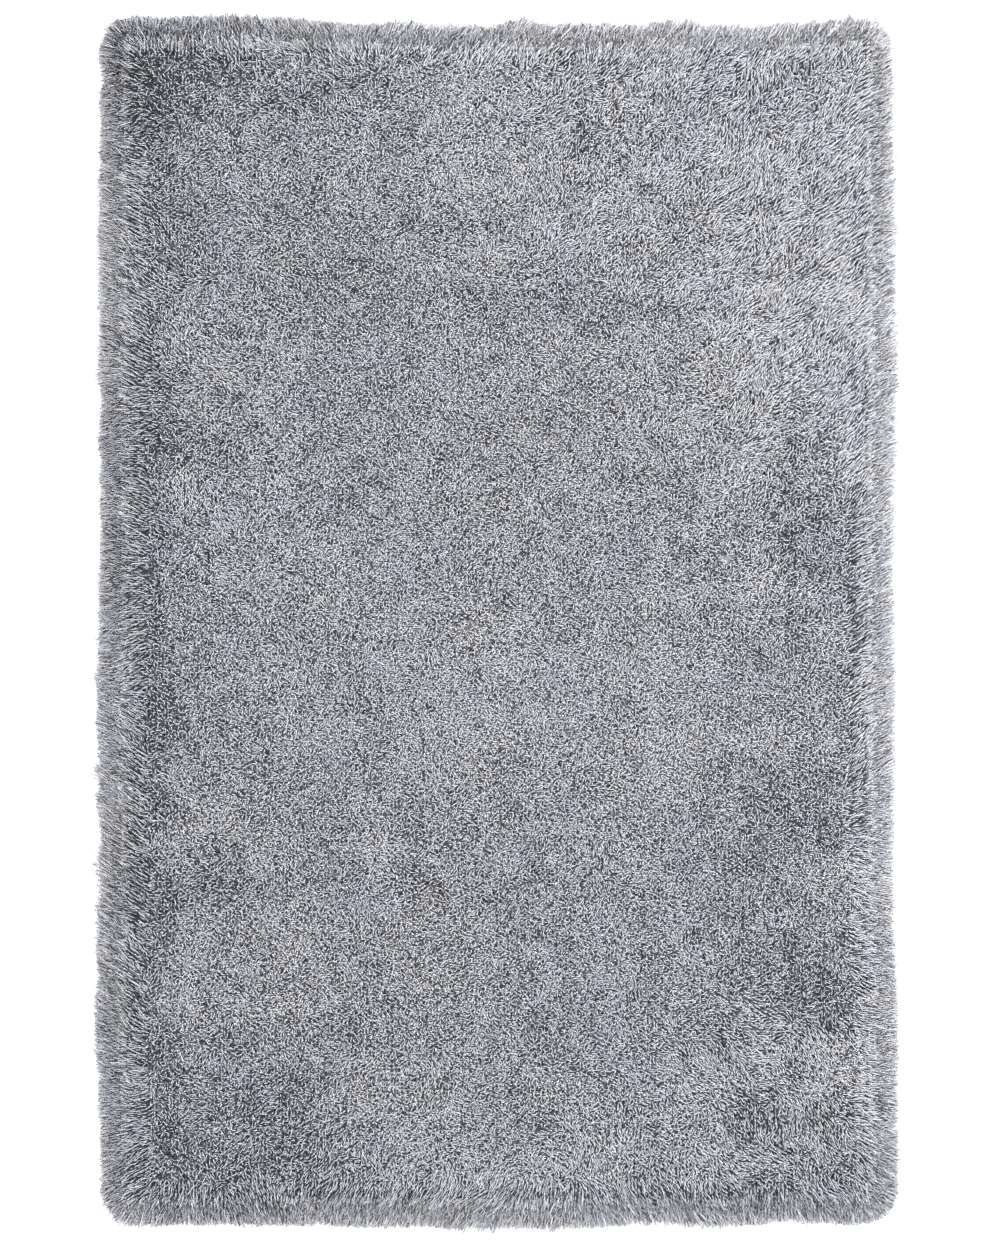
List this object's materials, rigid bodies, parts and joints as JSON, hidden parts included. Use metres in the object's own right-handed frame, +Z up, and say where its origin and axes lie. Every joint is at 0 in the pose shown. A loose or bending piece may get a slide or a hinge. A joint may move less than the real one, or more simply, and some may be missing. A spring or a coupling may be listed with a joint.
{
  "type": "shag rug",
  "caption": "Rectangular long-pile shag rug lying flat, with rounded corners, a lumpy silver-grey pile and loose yarn splayed over its rim.",
  "frame": {"origin": "on the floor, under the middle of the rug's box", "axes": "+X to the right-hand long side and +Y to the top short side as seen from above, +Z up"},
  "size_m": [1.209, 1.832, 0.0503],
  "materials": {
    "pile": "silver-grey yarn pile, soft, with a slight sheen"
  },
  "bodies": {
    "root": {"shag_rug": "pile"}
  },
  "joints": []
}
